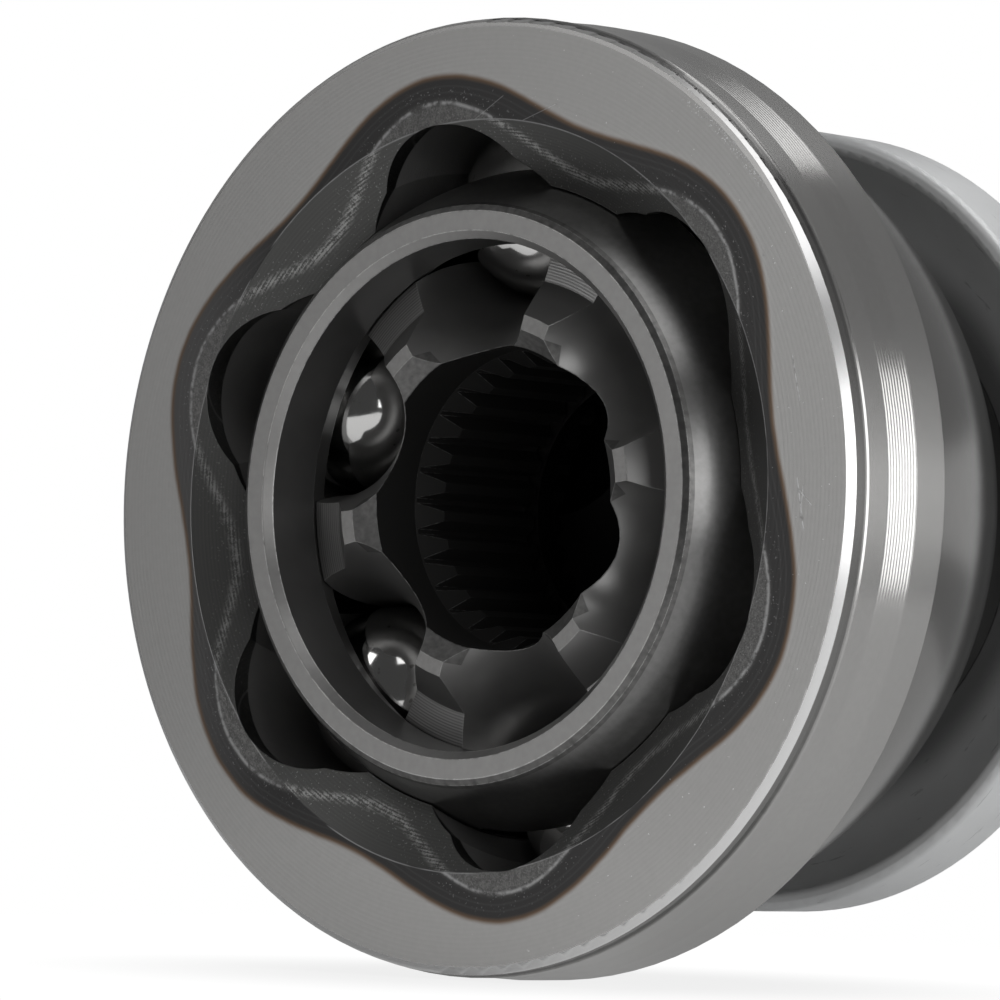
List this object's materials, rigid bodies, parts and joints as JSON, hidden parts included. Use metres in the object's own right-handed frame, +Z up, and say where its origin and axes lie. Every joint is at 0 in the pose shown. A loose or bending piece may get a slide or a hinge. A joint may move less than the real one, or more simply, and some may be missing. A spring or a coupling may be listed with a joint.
{
  "type": "constant velocity joint",
  "caption": "Outboard ball-type constant velocity joint: bell-shaped outer race with lobed mouth and stub axle, cage, balls, splined inner race and dust shield.",
  "frame": {"origin": "the joint centre, about which the drive shaft end swings", "axes": "joint axis along Y: the mouth that takes the drive shaft faces -Y, the stub axle points to +Y; +Z is up when the joint is fitted to a car"},
  "size_m": [0.0906, 0.1399, 0.0906],
  "materials": {
    "bell_steel": "turned, satin",
    "shield_steel": "pressed, satin",
    "cage_steel": "hardened, ground",
    "race_steel": "hardened, dark",
    "spring_steel": "oiled",
    "ball_steel": "polished"
  },
  "bodies": {
    "outer_race": {"outer_race": "bell_steel", "dust_shield": "shield_steel"},
    "cage": {"cage": "cage_steel"},
    "inner_race": {"inner_race": "race_steel", "circlip": "spring_steel"},
    "ball_1": {"ball_1": "ball_steel"},
    "ball_2": {"ball_2": "ball_steel"},
    "ball_3": {"ball_3": "ball_steel"},
    "ball_4": {"ball_4": "ball_steel"},
    "ball_5": {"ball_5": "ball_steel"},
    "ball_6": {"ball_6": "ball_steel"}
  },
  "joints": [
    {"name": "shaft_swing", "type": "hinge", "parent": "outer_race", "child": "inner_race", "pos_m": [0, 0, 0], "axis": [0, 0, 1], "range_deg": [-45, 45]},
    {"name": "cage_swing", "type": "hinge", "parent": "outer_race", "child": "cage", "pos_m": [0, 0, 0], "axis": [0, 0, 1], "range_deg": [-22.5, 22.5]},
    {"name": "ball_1_roll", "type": "hinge", "parent": "outer_race", "child": "ball_1", "pos_m": [0, -0.003, 0], "axis": [-0.6428, 0, 0.766], "range_deg": [-17.8, 17.8]},
    {"name": "ball_2_roll", "type": "hinge", "parent": "outer_race", "child": "ball_2", "pos_m": [0, -0.003, 0], "axis": [-0.9848, 0, -0.1736], "range_deg": [-4.2, 4.2]},
    {"name": "ball_3_roll", "type": "hinge", "parent": "outer_race", "child": "ball_3", "pos_m": [0, -0.003, 0], "axis": [-0.342, 0, -0.9397], "range_deg": [-21.4, 21.4]},
    {"name": "ball_4_roll", "type": "hinge", "parent": "outer_race", "child": "ball_4", "pos_m": [0, -0.003, 0], "axis": [0.6428, 0, -0.766], "range_deg": [-17.8, 17.8]},
    {"name": "ball_5_roll", "type": "hinge", "parent": "outer_race", "child": "ball_5", "pos_m": [0, -0.003, 0], "axis": [0.9848, 0, 0.1736], "range_deg": [-4.2, 4.2]},
    {"name": "ball_6_roll", "type": "hinge", "parent": "outer_race", "child": "ball_6", "pos_m": [0, -0.003, 0], "axis": [0.342, 0, 0.9397], "range_deg": [-21.4, 21.4]}
  ],
  "couplings": [
    {"joint": "cage_swing", "follows": "shaft_swing", "ratio": 0.5},
    {"joint": "ball_1_roll", "follows": "shaft_swing", "ratio": 0.3912},
    {"joint": "ball_2_roll", "follows": "shaft_swing", "ratio": -0.0907},
    {"joint": "ball_3_roll", "follows": "shaft_swing", "ratio": -0.4726},
    {"joint": "ball_4_roll", "follows": "shaft_swing", "ratio": -0.3912},
    {"joint": "ball_5_roll", "follows": "shaft_swing", "ratio": 0.0907},
    {"joint": "ball_6_roll", "follows": "shaft_swing", "ratio": 0.4726}
  ]
}
